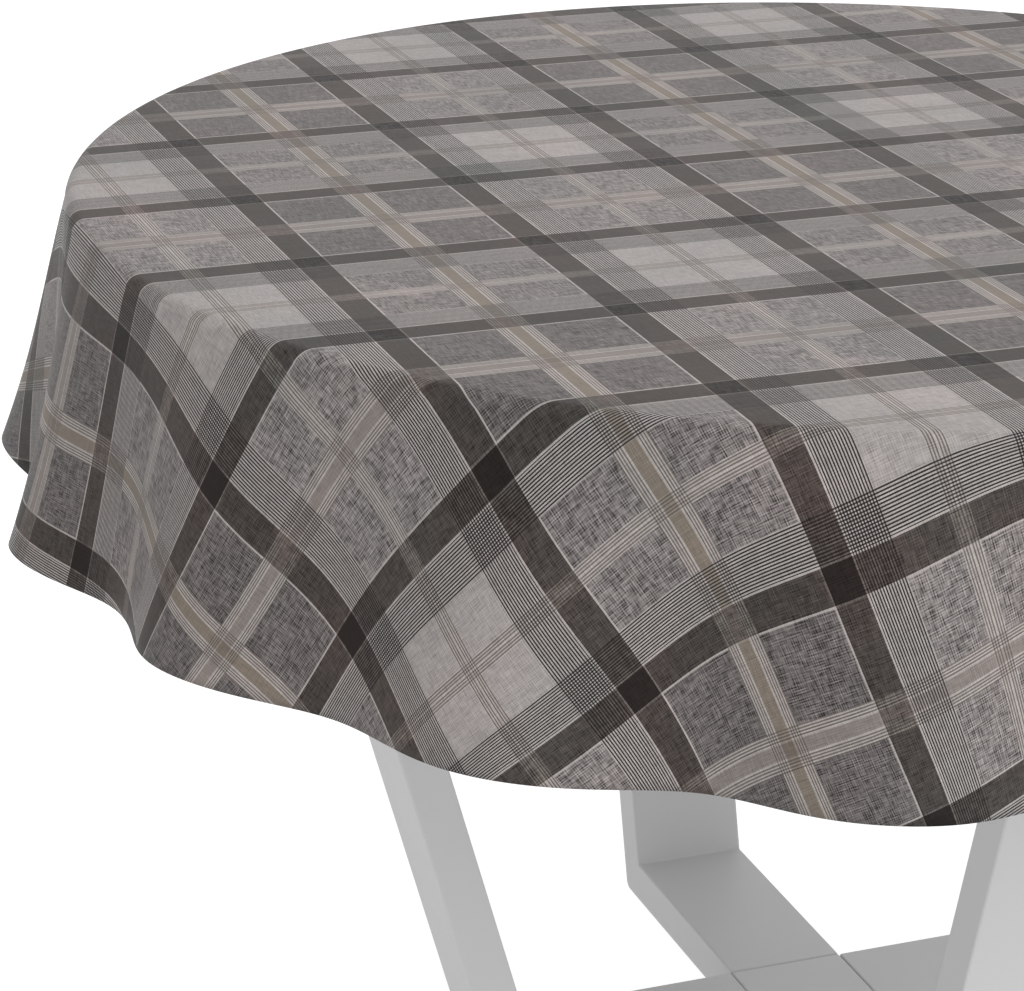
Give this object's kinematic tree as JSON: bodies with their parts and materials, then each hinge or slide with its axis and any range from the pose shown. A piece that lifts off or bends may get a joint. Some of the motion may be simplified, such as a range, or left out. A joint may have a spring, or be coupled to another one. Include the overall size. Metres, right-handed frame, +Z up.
{
  "type": "tablecloth on a table",
  "caption": "Round checked tablecloth draped in soft folds over a round table with a cross base of bent flat bars.",
  "frame": {"origin": "on the floor, under the middle of the table", "axes": "+Z up; the bars of the cross base and the stripes of the cloth lie along X and Y"},
  "size_m": [1.282, 1.282, 0.727],
  "materials": {
    "checked_cloth": "printed check in dark grey, light grey and beige on a linen look, with a slight sheen",
    "grey_lacquer": "satin light grey lacquer over wood",
    "zinc_steel": "zinc plated",
    "glide_plastic": "moulded black plastic"
  },
  "bodies": {
    "table": {"table_top": "grey_lacquer", "centre_block": "grey_lacquer", "joining_plate": "zinc_steel", "leg_right": "grey_lacquer", "top_plate_right": "zinc_steel", "top_screw_right_1": "zinc_steel", "top_screw_right_2": "zinc_steel", "top_screw_right_3": "zinc_steel", "top_screw_right_4": "zinc_steel", "glide_right": "glide_plastic", "glide_screw_right": "zinc_steel", "joining_screw_right_1": "zinc_steel", "joining_screw_right_2": "zinc_steel", "leg_far": "grey_lacquer", "top_plate_far": "zinc_steel", "top_screw_far_1": "zinc_steel", "top_screw_far_2": "zinc_steel", "top_screw_far_3": "zinc_steel", "top_screw_far_4": "zinc_steel", "glide_far": "glide_plastic", "glide_screw_far": "zinc_steel", "joining_screw_far_1": "zinc_steel", "joining_screw_far_2": "zinc_steel", "leg_left": "grey_lacquer", "top_plate_left": "zinc_steel", "top_screw_left_1": "zinc_steel", "top_screw_left_2": "zinc_steel", "top_screw_left_3": "zinc_steel", "top_screw_left_4": "zinc_steel", "glide_left": "glide_plastic", "glide_screw_left": "zinc_steel", "joining_screw_left_1": "zinc_steel", "joining_screw_left_2": "zinc_steel", "leg_near": "grey_lacquer", "top_plate_near": "zinc_steel", "top_screw_near_1": "zinc_steel", "top_screw_near_2": "zinc_steel", "top_screw_near_3": "zinc_steel", "top_screw_near_4": "zinc_steel", "glide_near": "glide_plastic", "glide_screw_near": "zinc_steel", "joining_screw_near_1": "zinc_steel", "joining_screw_near_2": "zinc_steel", "joining_screw_centre": "zinc_steel"},
    "cloth": {"tablecloth": "checked_cloth"}
  },
  "joints": [
    {"name": "cloth_lift", "type": "slide", "parent": "table", "child": "cloth", "axis": [0, 0, 1], "range_m": [0, 0.3]}
  ]
}
